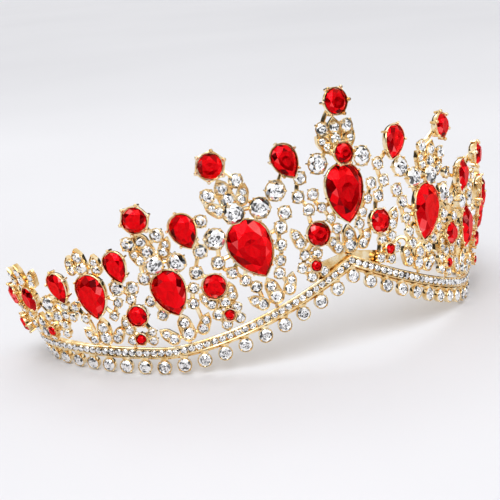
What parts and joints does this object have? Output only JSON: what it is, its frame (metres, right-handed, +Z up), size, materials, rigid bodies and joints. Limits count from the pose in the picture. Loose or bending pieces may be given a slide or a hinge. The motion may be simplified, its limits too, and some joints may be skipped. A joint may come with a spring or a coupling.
{
  "type": "crown",
  "caption": "Open horseshoe crown for hair in pale gold metal with red pear, drop and round stones, clear stone lattices, a raised front point and a fringe of stone drops.",
  "frame": {"origin": "middle of the footprint, at the height of the lowest drops", "axes": "+Z up, -Y towards the front of the crown, +X to the right of a person who looks at the front"},
  "size_m": [0.18, 0.0792, 0.081],
  "materials": {
    "gold_alloy": "polished pale gold plating",
    "red_stone": "faceted, foil backed",
    "clear_stone": "faceted, foil backed"
  },
  "bodies": {
    "root": {"band": "gold_alloy", "drop_fringe": "gold_alloy", "ornament_centre": "gold_alloy", "ornament_left_1": "gold_alloy", "lattice_left_1": "gold_alloy", "ornament_left_2": "gold_alloy", "lattice_left_2": "gold_alloy", "ornament_left_3": "gold_alloy", "lattice_left_3": "gold_alloy", "ornament_left_4": "gold_alloy", "lattice_left_4": "gold_alloy", "ornament_right_1": "gold_alloy", "lattice_right_1": "gold_alloy", "ornament_right_2": "gold_alloy", "lattice_right_2": "gold_alloy", "ornament_right_3": "gold_alloy", "lattice_right_3": "gold_alloy", "ornament_right_4": "gold_alloy", "lattice_right_4": "gold_alloy", "pear_stone_centre": "red_stone", "top_stone_centre": "red_stone", "second_stone_centre": "red_stone", "pear_stone_left_1": "red_stone", "drop_stone_left_1": "red_stone", "bud_stone_left_1": "red_stone", "side_stone_left_1": "red_stone", "top_stone_left_1": "red_stone", "pear_stone_left_2": "red_stone", "drop_stone_left_2": "red_stone", "bud_stone_left_2": "red_stone", "side_stone_left_2": "red_stone", "top_stone_left_2": "red_stone", "pear_stone_left_3": "red_stone", "drop_stone_left_3": "red_stone", "bud_stone_left_3": "red_stone", "side_stone_left_3": "red_stone", "pear_stone_left_4": "red_stone", "drop_stone_left_4": "red_stone", "bud_stone_left_4": "red_stone", "tail_drop_stone_left_4": "red_stone", "tail_side_stone_left_4": "red_stone", "pear_stone_right_1": "red_stone", "drop_stone_right_1": "red_stone", "bud_stone_right_1": "red_stone", "side_stone_right_1": "red_stone", "top_stone_right_1": "red_stone", "pear_stone_right_2": "red_stone", "drop_stone_right_2": "red_stone", "bud_stone_right_2": "red_stone", "side_stone_right_2": "red_stone", "top_stone_right_2": "red_stone", "pear_stone_right_3": "red_stone", "drop_stone_right_3": "red_stone", "bud_stone_right_3": "red_stone", "side_stone_right_3": "red_stone", "pear_stone_right_4": "red_stone", "drop_stone_right_4": "red_stone", "bud_stone_right_4": "red_stone", "tail_drop_stone_right_4": "red_stone", "tail_side_stone_right_4": "red_stone"}
  },
  "joints": []
}
